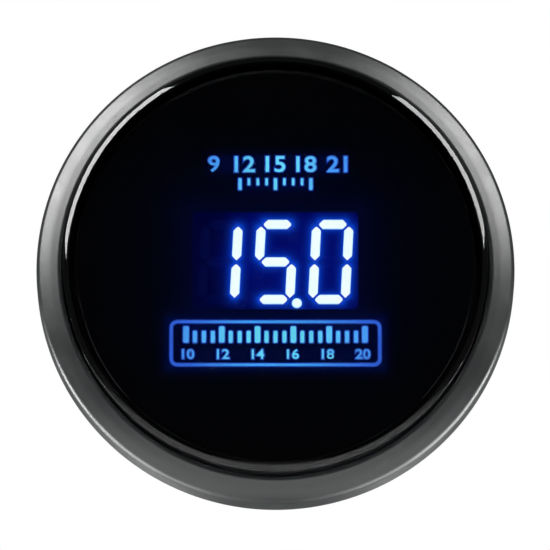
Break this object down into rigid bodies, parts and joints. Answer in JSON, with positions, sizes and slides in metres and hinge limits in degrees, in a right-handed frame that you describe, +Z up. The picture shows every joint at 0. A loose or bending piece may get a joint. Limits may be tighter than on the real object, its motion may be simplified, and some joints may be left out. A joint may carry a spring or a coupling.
{
  "type": "air fuel ratio gauge",
  "caption": "Round panel gauge with a satin bezel, a smoked lens over a seven-segment display, and a clamp with thumb nuts behind.",
  "frame": {"origin": "on the gauge's axis, at the plane of the panel's front, where the bezel rests", "axes": "+Y along the axis towards the rear, so the face looks along -Y; +Z up the face"},
  "size_m": [0.06, 0.0535, 0.06],
  "materials": {
    "bezel_black": "satin, fine grain",
    "smoked_lens": "polished, smoked",
    "gasket_rubber": "matte",
    "dial_black": "matte print",
    "white_plastic": "satin",
    "display_blue": "satin",
    "segment_lit": "diffuse, lit",
    "segment_dark": "diffuse, off",
    "led_clear": "clear",
    "board_green": "satin solder mask",
    "tinned_pins": "tinned",
    "backlight": "clear, lit",
    "chip_black": "matte",
    "header_black": "satin",
    "gilt_pins": "gilt",
    "brass": "turned",
    "zinc_steel": "zinc plated",
    "bracket_steel": "zinc plated, satin",
    "can_blue": "sleeved",
    "socket_black": "satin",
    "housing_black": "satin, fine grain"
  },
  "bodies": {
    "gauge": {"bezel": "bezel_black", "lens": "smoked_lens", "lens_gasket": "gasket_rubber", "dial_plate": "dial_black", "light_box": "white_plastic", "display_body": "display_blue", "display_segments_lit": "segment_lit", "display_segments_dark": "segment_dark", "display_leds": "led_clear", "display_board": "board_green", "display_pins": "tinned_pins", "backlight_leds": "backlight", "main_board": "board_green", "microcontroller": "chip_black", "driver_chip": "chip_black", "board_header": "header_black", "pin_header": "header_black", "header_pins": "gilt_pins", "board_spacers": "brass", "board_screws": "zinc_steel", "power_board": "board_green", "voltage_regulator": "chip_black", "capacitor": "can_blue", "resistors": "chip_black", "socket": "socket_black", "socket_pins": "gilt_pins", "housing": "housing_black", "clamp_studs": "zinc_steel", "stud_nuts": "zinc_steel"},
    "clamp": {"clamp_bracket": "bracket_steel", "lock_washers": "zinc_steel"},
    "left_nut": {"thumb_nut_left": "brass"},
    "right_nut": {"thumb_nut_right": "brass"}
  },
  "joints": [
    {"name": "bracket_slide", "type": "slide", "parent": "gauge", "child": "clamp", "axis": [0, 1, 0], "range_m": [0, 0.0105]},
    {"name": "nut_left_spin", "type": "hinge", "parent": "clamp", "child": "left_nut", "pos_m": [-0.018, 0.0257, 0], "axis": [0, 1, 0], "range_deg": [0, 5400]},
    {"name": "nut_right_spin", "type": "hinge", "parent": "clamp", "child": "right_nut", "pos_m": [0.018, 0.0257, 0], "axis": [0, 1, 0], "range_deg": [0, 5400]}
  ],
  "couplings": [
    {"joint": "nut_left_spin", "follows": "bracket_slide", "rad_per_m": 8976},
    {"joint": "nut_right_spin", "follows": "bracket_slide", "rad_per_m": 8976}
  ]
}
